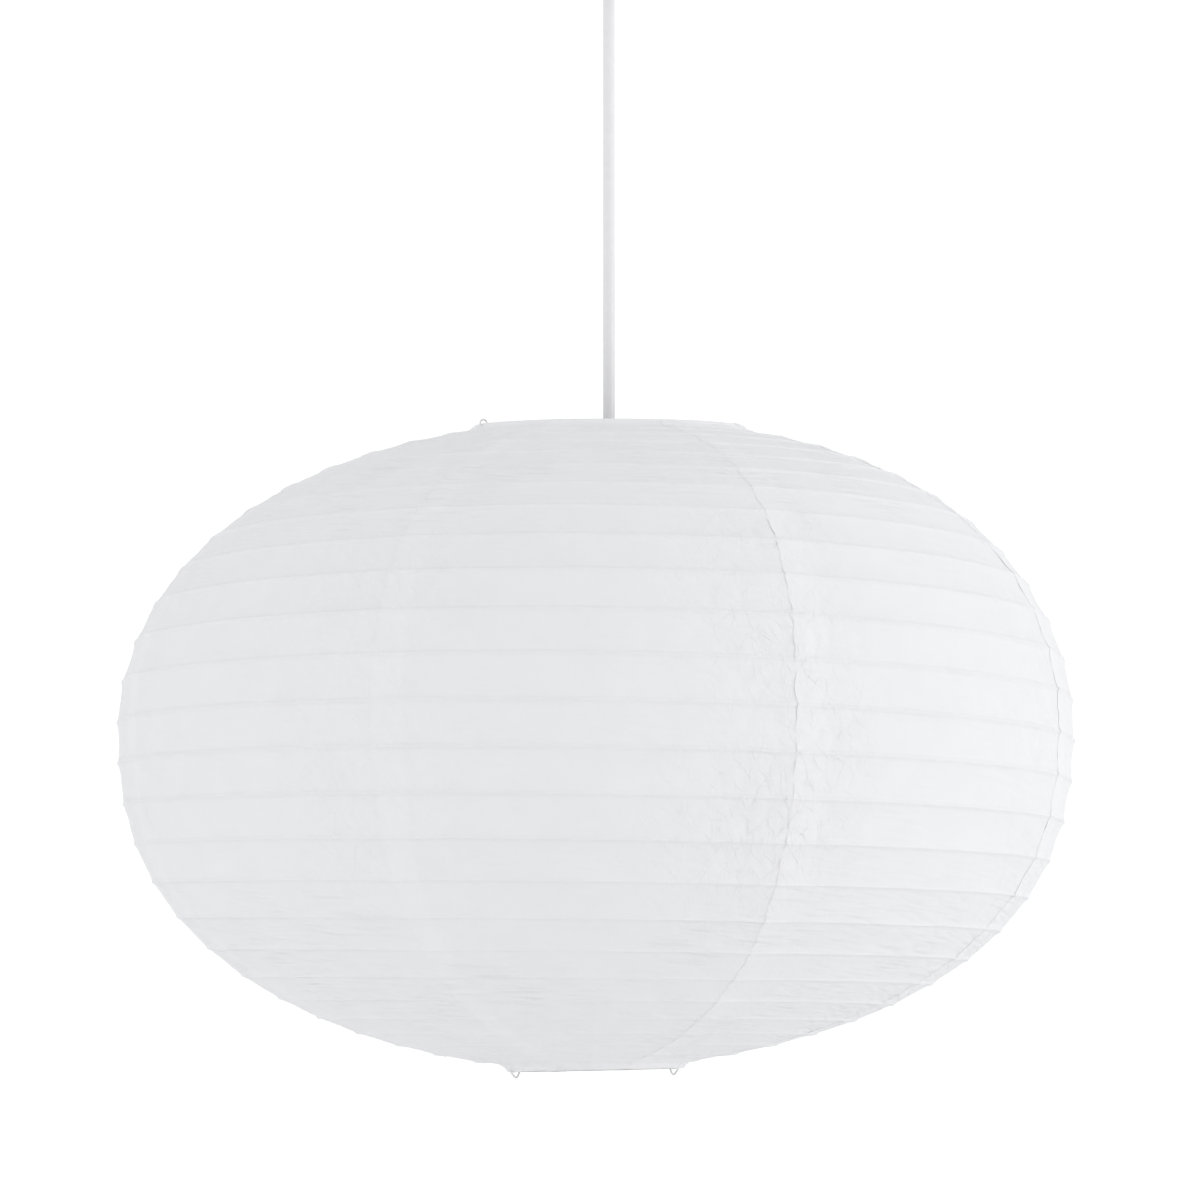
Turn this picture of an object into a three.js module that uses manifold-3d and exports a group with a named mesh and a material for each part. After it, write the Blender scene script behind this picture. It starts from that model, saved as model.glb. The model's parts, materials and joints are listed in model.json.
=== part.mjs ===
// Oval paper pendant lamp: a collapsible paper shade on a spiral of thin wire, held open by a wire
// expander, with a lampholder, a bulb, a short round cord and a ceiling canopy.
// Millimetres, +Z up, -Y towards the front. The origin is the middle of the bracket's top face, on the
// ceiling, and everything else hangs below it.
import * as THREE from "three";
import { mergeVertices } from "three/addons/utils/BufferGeometryUtils.js";
import Module from "manifold-3d";

const wasm = await Module();
wasm.setup();

// ---- driving dimensions -------------------------------------------------------------------------

const GAP = 0.3; // between pieces that touch
const TURN = 2 * Math.PI;
const FRONT = -Math.PI / 2; // the angle of the -Y side, counter-clockwise from +X

const SHADE_R = 250; // outside of the paper at its widest
const EQUATOR_Z = -466.5; // height of the widest ring
const TOP_RIM_Z = -306;
const BOTTOM_RIM_Z = -646;
const TOP_RIM_R = 72; // centre line of the rim wire
const BOTTOM_RIM_R = 46;
const SWAY = -7; // the belly and the bottom rim hang this far to the left of the cord
const CORD_R = 3.2;
const WIRE_R = 0.6; // expander, rims and rib spiral

const PAPER = { thick: 0.5, gores: 8, columns: 5, rows: 16, topGap: 2.6, bottomGap: WIRE_R + GAP };

// The two halves of the shell's outline, |z / height| ^ fall + (r / SHADE_R) ^ belly = 1. "ends" is
// where the neck that runs on to the rim begins.
const UPPER = { height: 163, fall: 1.912, belly: 2.326, ends: 157 };
const LOWER = { height: 177.5, fall: 2.506, belly: 1.965, ends: 174 };
const NECK_OUT = 1.5; // the paper's edge stands this far outside the rim wire's centre line

const RIB = { pitch: 21.74, inset: 3, frontZ: EQUATOR_Z - 4.6, ends: 3.4, perTurn: 14, sides: 3 };
// The turns aren't quite evenly spaced: they drift up and down in a wave along the paper.
const DRIFT = { size: 1.9, start: 150, length: 290 };
const LEAN = { belly: 2, cubic: -4.91, quartic: -1.83 }; // degrees, by share of the way up

const BRACKET = {
  length: 84, width: 18, thick: 1.5, ear: 14, slotAt: 27, slotLength: 12, slotWidth: 5, screwDrop: 9,
};
const CUP = { radius: 50, depth: 48, wall: 2, corner: 9, hole: 5.3 };
const CUP_SCREW = { radius: 2, headR: 3.8, rimR: 3.2, head: 1.8, inside: 4 };
const GLAND = {
  nippleR: 5, bore: 3.5, flangeR: 9.5, flange: 3, mouthR: 5.4, noseR: 7, bottom: -66,
  nutAcross: 8, nut: 4, top: -40, chamfer: 0.6, nose: 2, flare: 8,
};
const PIVOT_Z = -63; // where the cord bends as the pendant swings
const BEND_ROOM = 1.6; // slack below the pivot, for the cord's corner as it turns
const TERMINAL = { length: 22, width: 15, height: 13, pole: 5, bore: 1.7, screwR: 1.5, screwHead: 1.2 };
const CONDUCTOR = { radius: 1.1, apart: 3, straight: 5, forward: 6, bend: 4 };

const HOLDER = {
  top: -318, neckR: 7, neckEnd: -328, domeR: 20, domeEnd: -340, capEnd: -346, wall: 2.2,
  flangeR: 21.5, flange: 3, skirtR: 19.2, skirtEnd: -383, lampBore: 14.8, ledge: -355, insertBore: 17.2,
  shoulderR: 13, underR: 12, round: 3, chamfer: 1,
};
const CLAMP = { radius: 1.5, below: 5 }; // the screw that grips the cord
const TONGUE = { reach: 7, flat: 4, thick: 0.5, width: 5, drop: 1.5 };
const SPRING = { thick: 0.5, width: 5, height: 12, below: 6, inset: 0.1 };
const HOLDER_TERMINAL = { radius: 2.2, height: 4, out: 9 };
const SHADE_RING = { top: -352.5, height: 7, radius: 27, wall: 2.5, chamfer: 1 };
const BULB = {
  capR: 13.1, capTop: -362.3, capEnd: -384, capWall: 1.5, threads: 6, thread: 0.9,
  glassR: 30, bottom: -466, wall: 1, join: 0.6, waistR: 16.5, waistUp: 3, neckR: 12.4,
};
const BULB_END = { topR: 6, lowR: 11, height: 3, footR: 4.6, foot: 1.4 };

const EXPANDER = {
  turned: THREE.MathUtils.degToRad(25), // its left end stands forward of the cord by this angle
  barR: 43.2, // the side bars, from the bottom rim's centre
  armZ: -350.9, shoulderZ: -331, eyeR: 1.6, hookDrop: 4.4, hookOut: 3.2, bend: 5, sides: 6,
  eyeFrom: -0.12, eyeTurns: 0.86, eyeAside: 0.5, legIn: 6, legDown: 5,
};

// ---- the shade's shape --------------------------------------------------------------------------

// Share of the way up (0 to 1) or down (0 to -1) from the widest ring to a rim.
function share(z) {
  const up = z > EQUATOR_Z;
  return (z - EQUATOR_Z) / (up ? TOP_RIM_Z - EQUATOR_Z : EQUATOR_Z - BOTTOM_RIM_Z);
}

// The rings aren't quite level. This is how far the front of one is raised, in degrees.
function lean(z) {
  const t = share(z);
  return LEAN.belly + LEAN.cubic * t ** 3 + LEAN.quartic * t ** 4;
}

// Moves a point of the straight, level shade to where the hanging shade has it.
function settle(p) {
  const t = Math.max(share(p.z), 0);
  const rise = -p.y * Math.tan(THREE.MathUtils.degToRad(lean(p.z)));
  return new THREE.Vector3(p.x + SWAY * (1 - t * t), p.y, p.z + rise);
}

function settled(geometry) {
  const at = geometry.getAttribute("position");
  const p = new THREE.Vector3();
  for (let i = 0; i < at.count; i++) {
    p.copy(settle(p.fromBufferAttribute(at, i)));
    at.setXYZ(i, p.x, p.y, p.z);
  }
  return geometry;
}

function shellRadius(half, up) {
  return SHADE_R * (1 - (up / half.height) ** half.fall) ** (1 / half.belly);
}

// Points of the paper's outside from the top edge to the bottom edge, as (radius, z).
function outline() {
  const points = [new THREE.Vector2(TOP_RIM_R + NECK_OUT, TOP_RIM_Z - PAPER.topGap)];
  const steps = 24;
  for (let i = -steps; i <= steps; i++) {
    const half = i < 0 ? UPPER : LOWER;
    const from = half.ends * Math.sin((Math.abs(i) / steps) * (TURN / 4));
    points.push(new THREE.Vector2(shellRadius(half, from), EQUATOR_Z - Math.sign(i) * from));
  }
  points.push(new THREE.Vector2(BOTTOM_RIM_R + NECK_OUT, BOTTOM_RIM_Z + PAPER.bottomGap));
  return new THREE.SplineCurve(points);
}

const meridian = outline();
meridian.arcLengthDivisions = 2000;

// A point of the outline at a share of its length, moved inwards at right angles to the paper.
function inside(u, depth) {
  const p = meridian.getPointAt(u);
  const t = meridian.getTangentAt(u);
  return new THREE.Vector2(p.x + t.y * depth, p.y - t.x * depth);
}

// ---- geometry helpers ---------------------------------------------------------------------------

// A centre line that has one cross-section at each of its points.
class Route extends THREE.Curve {
  constructor(points) {
    super();
    this.points = points;
  }

  getPoint(t, target = new THREE.Vector3()) {
    return target.copy(this.points[Math.round(t * (this.points.length - 1))]);
  }

  getTangent(t, target = new THREE.Vector3()) {
    const last = this.points.length - 1;
    const i = Math.round(t * last);
    const ahead = this.points[Math.min(i + 1, last)];
    const behind = this.points[Math.max(i - 1, 0)];
    return target.subVectors(ahead, behind).normalize();
  }

  getPointAt(u, target) {
    return this.getPoint(u, target);
  }

  getTangentAt(u, target) {
    return this.getTangent(u, target);
  }
}

function regularShape(radius, sides) {
  const shape = new THREE.Shape();
  for (let i = 0; i < sides; i++) {
    const a = (TURN * (i + 0.5)) / sides;
    const to = i ? "lineTo" : "moveTo";
    shape[to](radius * Math.cos(a), radius * Math.sin(a));
  }
  return shape;
}

function rod(points, radius, sides) {
  return new THREE.ExtrudeGeometry(regularShape(radius, sides), {
    steps: points.length - 1,
    extrudePath: new Route(points),
  });
}

// Rounds each corner of a bent wire's route.
function rounded(corners, reach, steps = 3) {
  const points = [corners[0]];
  for (let i = 1; i < corners.length - 1; i++) {
    const [before, at, after] = corners.slice(i - 1, i + 2);
    const towards = (to) => {
      const room = Math.min(reach, at.distanceTo(to) * 0.45);
      return at.clone().lerp(to, room / at.distanceTo(to));
    };
    const bend = new THREE.QuadraticBezierCurve3(towards(before), at, towards(after));
    points.push(...bend.getPoints(steps));
  }
  points.push(corners.at(-1));
  return points;
}

// Turns a profile of [radius, z] points round the Z axis. "open" profiles start and end on the axis.
function turned(profile, segments = 28, open = false) {
  const points = profile.map(([r, z]) => new THREE.Vector2(r, z));
  if (THREE.ShapeUtils.area(points) < 0) points.reverse();
  if (!open) points.push(points[0].clone());
  return new THREE.LatheGeometry(points, segments).rotateX(TURN / 4);
}

function cylinder(radius, from, to, segments = 12) {
  return turned([[0, from], [radius, from], [radius, to], [0, to]], segments, true);
}

function ringWire(radius, wireRadius, z, segments, sides) {
  const profile = [];
  for (let i = 0; i < sides; i++) {
    const a = (TURN * (i + 0.5)) / sides;
    profile.push([radius + wireRadius * Math.cos(a), z + wireRadius * Math.sin(a)]);
  }
  return turned(profile, segments);
}

function solid(geometry) {
  const bare = geometry.index ? geometry.toNonIndexed() : geometry.clone();
  bare.deleteAttribute("normal");
  bare.deleteAttribute("uv");
  const merged = mergeVertices(bare, 1e-3);
  const vertProperties = new Float32Array(merged.attributes.position.array);
  const triVerts = new Uint32Array(merged.index.array);
  return new wasm.Manifold(new wasm.Mesh({ numProp: 3, vertProperties, triVerts }));
}

function cut(geometry, ...cutters) {
  const left = cutters.reduce((body, cutter) => body.subtract(solid(cutter)), solid(geometry));
  const mesh = left.getMesh();
  const made = new THREE.BufferGeometry();
  made.setAttribute("position", new THREE.BufferAttribute(mesh.vertProperties, 3));
  made.setIndex(new THREE.BufferAttribute(mesh.triVerts, 1));
  return made;
}

// ---- materials ----------------------------------------------------------------------------------

function finish(color, roughness, metalness = 0) {
  return new THREE.MeshStandardMaterial({ color, roughness, metalness });
}

const FINISH = {
  paper: finish(0xf0f0f1, 0.85),
  cord: finish(0xeeeeee, 0.35),
  plastic: finish(0xf2f2f0, 0.35),
  wire: finish(0xd8d8d8, 0.35, 0.6),
  steel: finish(0xb9bcc0, 0.35, 1),
  brass: finish(0xc9a44a, 0.3, 1),
  ceramic: finish(0xe9e4d8, 0.3),
  glass: finish(0xf7f7f2, 0.4),
  cap: finish(0xc6c8ca, 0.3, 1),
  insulator: finish(0x1b1b1d, 0.2),
  brown: finish(0x6b3f22, 0.5),
  blue: finish(0x2c5fa8, 0.5),
};

const lamp = new THREE.Group();

function piece(name, geometry, material) {
  const mesh = new THREE.Mesh(geometry, material);
  mesh.name = name;
  lamp.add(mesh);
  return mesh;
}

const v3 = (x, y, z) => new THREE.Vector3(x, y, z);

// ---- ceiling bracket and canopy -----------------------------------------------------------------

// A flat strap with two fixing slots and an ear turned down at each end for a side screw.
function bracket() {
  const half = BRACKET.length / 2;
  const strap = new THREE.Shape();
  strap.moveTo(-half, 0).lineTo(half, 0).lineTo(half, -BRACKET.ear);
  strap.lineTo(half - BRACKET.thick, -BRACKET.ear).lineTo(half - BRACKET.thick, -BRACKET.thick);
  strap.lineTo(-half + BRACKET.thick, -BRACKET.thick).lineTo(-half + BRACKET.thick, -BRACKET.ear);
  strap.lineTo(-half, -BRACKET.ear).closePath();
  const body = new THREE.ExtrudeGeometry(strap, { depth: BRACKET.width, bevelEnabled: false });
  body.translate(0, 0, -BRACKET.width / 2).rotateX(TURN / 4);
  const slots = [-1, 1].map((side) => {
    const slot = new THREE.BoxGeometry(BRACKET.slotLength, BRACKET.slotWidth, BRACKET.thick * 4);
    return slot.translate(side * BRACKET.slotAt, 0, 0);
  });
  const bore = cylinder(CUP_SCREW.radius + GAP, -BRACKET.length, BRACKET.length);
  bore.rotateY(TURN / 4).translate(0, 0, -BRACKET.screwDrop);
  return cut(body, ...slots, bore);
}

function canopyCup() {
  const { radius, depth, wall, corner, hole } = CUP;
  const outside = [];
  const within = [];
  const steps = 4;
  for (let i = 0; i <= steps; i++) {
    const a = (TURN / 4) * (i / steps);
    const [c, s] = [Math.cos(a), Math.sin(a)];
    outside.push([radius - corner + corner * c, -depth + corner - corner * s]);
    within.push([radius - corner + (corner - wall) * c, -depth + corner - (corner - wall) * s]);
  }
  const profile = [[radius, -GAP], ...outside, [hole, -depth], [hole, -depth + wall]];
  profile.push(...within.reverse(), [radius - wall, -GAP]);
  const bore = cylinder(CUP_SCREW.radius + GAP, -2 * radius, 2 * radius);
  bore.rotateY(TURN / 4).translate(0, 0, -BRACKET.screwDrop);
  return cut(turned(profile), bore);
}

// A screw through the cup's wall into the bracket's ear, its head outside the cup.
function canopyScrew(side) {
  const { radius, headR, rimR, head, inside } = CUP_SCREW;
  const tip = BRACKET.length / 2 - inside;
  const under = CUP.radius + GAP;
  const top = under + head;
  const profile = [[0, tip], [radius, tip], [radius, under], [headR, under], [rimR, top], [0, top]];
  const screw = turned(profile, 12, true).rotateY((side * TURN) / 4);
  return screw.translate(0, 0, -BRACKET.screwDrop);
}

// The gland's nipple passes up through the cup; its nose flares so that the cord can swing.
function glandBody() {
  const { nippleR, bore, flangeR, flange, mouthR, noseR, bottom, top, chamfer, nose, flare } = GLAND;
  const under = -CUP.depth - GAP;
  return turned([
    [bore, top], [nippleR, top], [nippleR, under], [flangeR, under], [flangeR, under - flange],
    [noseR, bottom + nose], [noseR - chamfer, bottom], [mouthR, bottom], [bore, bottom + flare],
  ], 24);
}

function glandNut() {
  const floor = -CUP.depth + CUP.wall + GAP;
  const hexagon = regularShape(GLAND.nutAcross, 6);
  hexagon.holes.push(regularShape(GLAND.nippleR + 2 * GAP, 24));
  const nut = new THREE.ExtrudeGeometry(hexagon, { depth: GLAND.nut, bevelEnabled: false });
  return nut.translate(0, 0, floor);
}

const TERMINAL_TOP = -BRACKET.thick - GAP;
const TERMINAL_END = TERMINAL_TOP - TERMINAL.height;
const BORE_Z = TERMINAL_TOP - TERMINAL.height / 2;

function terminalScrewPlace(pole, side) {
  return [pole * TERMINAL.pole, side * (TERMINAL.width / 4)];
}

function terminalBlock() {
  const body = new THREE.BoxGeometry(TERMINAL.length, TERMINAL.width, TERMINAL.height);
  body.translate(0, 0, BORE_Z);
  const cutters = [];
  for (const pole of [-1, 1]) {
    const bore = cylinder(TERMINAL.bore, -TERMINAL.width, TERMINAL.width).rotateX(TURN / 4);
    cutters.push(bore.translate(pole * TERMINAL.pole, 0, BORE_Z));
    for (const side of [-1, 1]) {
      const [x, y] = terminalScrewPlace(pole, side);
      cutters.push(cylinder(TERMINAL.screwR + GAP, TERMINAL_END - 1, BORE_Z).translate(x, y, 0));
    }
  }
  return cut(body, ...cutters);
}

function ceilingFitting() {
  piece("ceiling_bracket", bracket(), FINISH.steel);
  piece("canopy_cup", canopyCup(), FINISH.plastic);
  piece("canopy_screw_left", canopyScrew(-1), FINISH.steel);
  piece("canopy_screw_right", canopyScrew(1), FINISH.steel);
  piece("gland_body", glandBody(), FINISH.plastic);
  piece("gland_nut", glandNut(), FINISH.plastic);
  piece("terminal_block", terminalBlock(), FINISH.plastic);
  let count = 0;
  for (const pole of [-1, 1]) {
    for (const side of [-1, 1]) {
      const [x, y] = terminalScrewPlace(pole, side);
      const below = TERMINAL_END - TERMINAL.screwHead;
      const screw = cylinder(TERMINAL.screwR, below, BORE_Z - TERMINAL.bore - GAP);
      count += 1;
      piece("terminal_screw_" + count, screw.translate(x, y, 0), FINISH.brass);
    }
  }
}

// Each core bends up from the cord's end into the near mouth of its pole.
function conductor(name, side, material) {
  const cordEnd = GLAND.top + 1;
  const mouthY = -TERMINAL.width / 2 - GAP;
  const { radius, apart, straight, forward, bend } = CONDUCTOR;
  const corners = [
    v3((side * apart) / 2, 0, cordEnd + GAP),
    v3((side * apart) / 2, 0, cordEnd + straight),
    v3(side * TERMINAL.pole, mouthY - forward, (cordEnd + BORE_Z) / 2),
    v3(side * TERMINAL.pole, mouthY - forward, BORE_Z),
    v3(side * TERMINAL.pole, mouthY, BORE_Z),
  ];
  piece(name, rod(rounded(corners, bend), radius, 8), material);
}

// ---- cord ---------------------------------------------------------------------------------------

function cord() {
  const top = PIVOT_Z - BEND_ROOM;
  const end = HOLDER.neckEnd - 4;
  const steps = 16;
  const stub = [v3(0, 0, GLAND.top + 1), v3(0, 0, PIVOT_Z)];
  const points = [];
  for (let i = 0; i <= steps; i++) points.push(v3(0, 0, top + ((end - top) * i) / steps));
  piece("cord_stub", rod(stub, CORD_R, 12), FINISH.cord);
  piece("pendant_cord", rod(points, CORD_R, 12), FINISH.cord);
}

// ---- lampholder ---------------------------------------------------------------------------------

function holderCap() {
  const { top, neckR, neckEnd, domeR, domeEnd, capEnd, wall, shoulderR, underR, round } = HOLDER;
  const bore = CORD_R + GAP;
  const edge = HOLDER.chamfer;
  const cap = turned([
    [bore, top], [neckR - edge, top], [neckR, top - edge], [neckR, neckEnd],
    [shoulderR, neckEnd - round], [domeR - 2 * edge, domeEnd + round], [domeR, domeEnd],
    [domeR, capEnd], [domeR - wall, capEnd], [domeR - wall, domeEnd],
    [underR, neckEnd - round - wall], [bore, neckEnd - wall],
  ]);
  const tapped = cylinder(CLAMP.radius + GAP, 0, neckR + 2).rotateX(TURN / 4);
  return cut(cap, tapped.translate(0, 0, top - CLAMP.below));
}

function holderSkirt() {
  const { flangeR, flange, skirtR, skirtEnd, lampBore, ledge, insertBore, chamfer } = HOLDER;
  const top = HOLDER.capEnd - GAP;
  return turned([
    [insertBore, top], [flangeR, top], [flangeR, top - flange], [skirtR, top - flange],
    [skirtR, skirtEnd + chamfer], [skirtR - chamfer, skirtEnd], [lampBore, skirtEnd], [lampBore, ledge],
    [insertBore, ledge],
  ]);
}

function shadeRing() {
  const { top, height, radius, wall, chamfer } = SHADE_RING;
  const bore = HOLDER.skirtR + GAP;
  return turned([
    [bore, top], [radius - chamfer, top], [radius, top - chamfer], [radius, top - height],
    [radius - wall, top - height], [radius - wall, top - wall], [bore + wall, top - wall],
    [bore + wall, top - height], [bore, top - height],
  ]);
}

const INSERT_R = HOLDER.insertBore - GAP;
const INSERT_TOP = HOLDER.capEnd - 1;
const INSERT_END = HOLDER.ledge + GAP;

// The sprung tongue under the insert that the bulb's foot presses on.
function centreContact() {
  const top = INSERT_END - GAP;
  const { reach, flat, thick, width, drop } = TONGUE;
  const strip = new THREE.Shape();
  strip.moveTo(-reach, 0).lineTo(-reach + flat, 0).lineTo(reach, -drop).lineTo(reach, -drop - thick);
  strip.lineTo(-reach + flat, -thick).lineTo(-reach, -thick).closePath();
  const tongue = new THREE.ExtrudeGeometry(strip, { depth: width, bevelEnabled: false });
  return tongue.translate(0, 0, -width / 2).rotateX(TURN / 4).translate(0, 0, top);
}

function sideContact() {
  const { thick, width, height, below, inset } = SPRING;
  const strip = new THREE.BoxGeometry(thick, width, height);
  const radius = (BULB.capR + HOLDER.lampBore) / 2;
  return strip.translate(radius - inset, 0, HOLDER.ledge - below - height / 2);
}

function lampholder() {
  piece("holder_cap", holderCap(), FINISH.plastic);
  const clamp = cylinder(CLAMP.radius, CORD_R + 0.5, HOLDER.neckR + 1, 10).rotateX(TURN / 4);
  piece("cord_clamp_screw", clamp.translate(0, 0, HOLDER.top - CLAMP.below), FINISH.steel);
  piece("holder_skirt", holderSkirt(), FINISH.plastic);
  piece("shade_ring", shadeRing(), FINISH.plastic);
  piece("contact_insert", cylinder(INSERT_R, INSERT_END, INSERT_TOP, 28), FINISH.ceramic);
  piece("centre_contact", centreContact(), FINISH.brass);
  piece("side_contact", sideContact(), FINISH.brass);
  const { radius, height, out } = HOLDER_TERMINAL;
  [["left", -1], ["right", 1]].forEach(([name, side]) => {
    const screw = cylinder(radius, INSERT_TOP + GAP, INSERT_TOP + height);
    piece("holder_terminal_" + name, screw.translate(side * out, 0, 0), FINISH.brass);
  });
}

// ---- bulb ---------------------------------------------------------------------------------------

// The rolled thread is a stack of round waves, open at both ends.
function bulbCap() {
  const { capR, capTop, capEnd, capWall, threads, thread } = BULB;
  const profile = [];
  const steps = 2 * threads;
  for (let i = 0; i <= steps; i++) {
    const z = capTop + ((capEnd - capTop) * i) / steps;
    profile.push([i % 2 ? capR : capR - thread, z]);
  }
  profile.push([capR - capWall, capEnd], [capR - capWall, capTop]);
  return turned(profile, 24);
}

function bulbGlass() {
  const { glassR, bottom, wall, capEnd, join, waistR, waistUp, neckR } = BULB;
  const neckZ = capEnd - GAP;
  const ballZ = bottom + glassR;
  const waistZ = (ballZ + glassR * join + neckZ) / 2 + waistUp;
  const line = (inset) => {
    const points = [];
    const steps = 8;
    for (let i = 0; i <= steps; i++) {
      const a = -TURN / 4 + (TURN / 4 + Math.asin(join)) * (i / steps);
      points.push([(glassR - inset) * Math.cos(a), ballZ + (glassR - inset) * Math.sin(a)]);
    }
    points.push([waistR - inset, waistZ], [neckR - inset, neckZ]);
    return points;
  };
  const outside = line(0);
  const within = line(wall).reverse();
  outside[0][0] = 0;
  within.at(-1)[0] = 0;
  return turned([...outside, ...within], 24, true);
}

function bulb() {
  const { topR, lowR, height, footR, foot } = BULB_END;
  const low = BULB.capTop + GAP;
  const top = BULB.capTop + height;
  piece("bulb_cap", bulbCap(), FINISH.cap);
  piece("bulb_glass", bulbGlass(), FINISH.glass);
  const cone = [[0, low], [lowR, low], [topR, top], [0, top]];
  piece("bulb_insulator", turned(cone, 24, true), FINISH.insulator);
  piece("bulb_foot", cylinder(footR, top + GAP, top + foot, 16), FINISH.brass);
}

// ---- wire expander ------------------------------------------------------------------------------

// A point in the expander's upright plane: "along" it from the axis, "out" of it, at a height.
function onExpander(along, z, centre = 0, out = 0) {
  const [c, s] = [Math.cos(EXPANDER.turned), Math.sin(EXPANDER.turned)];
  return v3(centre + along * c - out * s, along * s + out * c, z);
}

function rimHeight(along, radius, z) {
  return settle(onExpander(Math.sign(along) * radius, z)).z;
}

// One side bar: an eye round the top rim, a shoulder in to the holder's width, the long straight
// bar, and an open hook under the bottom rim. It stands on the bottom rim's centre.
function sideBar(side) {
  const { barR, eyeR, shoulderZ, hookDrop, hookOut, bend, sides } = EXPANDER;
  const { eyeFrom, eyeTurns, eyeAside, legIn, legDown } = EXPANDER;
  const eyeZ = rimHeight(side, TOP_RIM_R, TOP_RIM_Z);
  const hookZ = rimHeight(side, BOTTOM_RIM_R, BOTTOM_RIM_Z);
  const eye = [];
  const steps = 10;
  for (let i = 0; i <= steps; i++) {
    const a = (eyeFrom + eyeTurns * (i / steps)) * TURN;
    const along = side * (TOP_RIM_R - eyeR * Math.cos(a));
    eye.push(onExpander(along, eyeZ + eyeR * Math.sin(a), 0, side * eyeAside * (1 - i / steps)));
  }
  const below = [
    eye.at(-1),
    onExpander(side * TOP_RIM_R - side * legIn, eyeZ - legDown),
    onExpander(side * barR, shoulderZ, SWAY),
    onExpander(side * barR, hookZ - 0.5, SWAY),
    onExpander(side * (BOTTOM_RIM_R - 0.4), hookZ - hookDrop, SWAY),
    onExpander(side * (BOTTOM_RIM_R + hookOut), hookZ, SWAY),
  ];
  const route = [...eye.slice(0, -1), ...rounded(below, bend)];
  return rod(route, WIRE_R, sides);
}

// One of the two wires that run from bar to bar and pass round the lampholder.
function holderWire(side) {
  const { barR, armZ, sides } = EXPANDER;
  const ringR = HOLDER.skirtR + GAP + WIRE_R;
  const apart = WIRE_R + GAP / 2;
  const reach = Math.sqrt(ringR ** 2 - apart ** 2);
  const end = barR - WIRE_R - GAP;
  const points = [onExpander(-end, armZ, SWAY, side * apart)];
  const steps = 12;
  const from = Math.atan2(apart, -reach);
  const to = Math.atan2(apart, reach);
  for (let i = 0; i <= steps; i++) {
    const a = from + (to - from) * (i / steps);
    points.push(onExpander(ringR * Math.cos(a), armZ, 0, side * ringR * Math.sin(a)));
  }
  points.push(onExpander(end, armZ, SWAY, side * apart));
  return rod(points, WIRE_R, sides);
}

function expander() {
  piece("expander_bar_left", sideBar(-1), FINISH.wire);
  piece("expander_bar_right", sideBar(1), FINISH.wire);
  piece("holder_wire_front", holderWire(-1), FINISH.wire);
  piece("holder_wire_back", holderWire(1), FINISH.wire);
}

// ---- shade --------------------------------------------------------------------------------------

function drift(past) {
  return DRIFT.size * Math.sin(((past + DRIFT.start) / DRIFT.length) * TURN);
}

// One continuous wire that winds down inside the paper, counter-clockwise seen from above.
function ribSpiral() {
  const length = meridian.getLength();
  const front = shareOfLengthAt(RIB.frontZ) * length;
  const covered = length - 2 * RIB.ends;
  const steps = Math.round((covered / RIB.pitch) * RIB.perTurn);
  const points = [];
  for (let i = 0; i <= steps; i++) {
    const along = RIB.ends + covered * (i / steps);
    const past = along - front;
    const turns = (past - drift(past) + drift(0)) / RIB.pitch;
    const p = inside(along / length, RIB.inset);
    const a = FRONT + turns * TURN;
    points.push(settle(v3(p.x * Math.cos(a), p.x * Math.sin(a), p.y)));
  }
  return rod(points, WIRE_R, RIB.sides);
}

// Where along the outline the paper is at a height.
function shareOfLengthAt(z) {
  let [low, high] = [0, 1];
  while (high - low > 1e-5) {
    const middle = (low + high) / 2;
    if (meridian.getPointAt(middle).y > z) low = middle;
    else high = middle;
  }
  return low;
}

// One gore: a thin band with the outline's shape, swept round an eighth of a turn.
function gore(index) {
  const width = TURN / PAPER.gores;
  const middle = FRONT + index * width;
  const margin = GAP / 2 / (BOTTOM_RIM_R + NECK_OUT);
  const band = new THREE.Shape();
  const [outside, within] = [[], []];
  for (let i = 0; i <= PAPER.rows; i++) {
    outside.push(inside(i / PAPER.rows, 0));
    within.push(inside(i / PAPER.rows, PAPER.thick));
  }
  // The sweep's section has x along -Z and y towards the axis.
  const section = [...outside, ...within.reverse()].map((p) => new THREE.Vector2(-p.y, SHADE_R - p.x));
  band.setFromPoints(section);
  const arc = [];
  for (let i = 0; i <= PAPER.columns; i++) {
    const a = middle - width / 2 + margin + (width - 2 * margin) * (i / PAPER.columns);
    arc.push(v3(SHADE_R * Math.cos(a), SHADE_R * Math.sin(a), 0));
  }
  const route = new Sweep(arc, middle - width / 2 + margin, width - 2 * margin);
  return settled(new THREE.ExtrudeGeometry(band, { steps: PAPER.columns, extrudePath: route }));
}

// A route round the axis whose tangents are the circle's own.
class Sweep extends Route {
  constructor(points, from, width) {
    super(points);
    this.from = from;
    this.width = width;
  }

  getTangent(t, target = new THREE.Vector3()) {
    const a = this.from + this.width * t;
    return target.set(-Math.sin(a), Math.cos(a), 0);
  }
}

function rim(radius, z) {
  return settled(ringWire(radius, WIRE_R, z, 40, 6));
}

function shade() {
  piece("top_rim_wire", rim(TOP_RIM_R, TOP_RIM_Z), FINISH.wire);
  piece("bottom_rim_wire", rim(BOTTOM_RIM_R, BOTTOM_RIM_Z), FINISH.wire);
  piece("rib_spiral", ribSpiral(), FINISH.wire);
  for (let i = 0; i < PAPER.gores; i++) piece("paper_gore_" + (i + 1), gore(i), FINISH.paper);
}

// ---- the whole lamp -----------------------------------------------------------------------------

ceilingFitting();
conductor("conductor_brown", -1, FINISH.brown);
conductor("conductor_blue", 1, FINISH.blue);
cord();
lampholder();
bulb();
expander();
shade();

export default lamp;
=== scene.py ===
"""The looks of an oval paper pendant lamp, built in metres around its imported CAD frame."""

import json
import math

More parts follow.
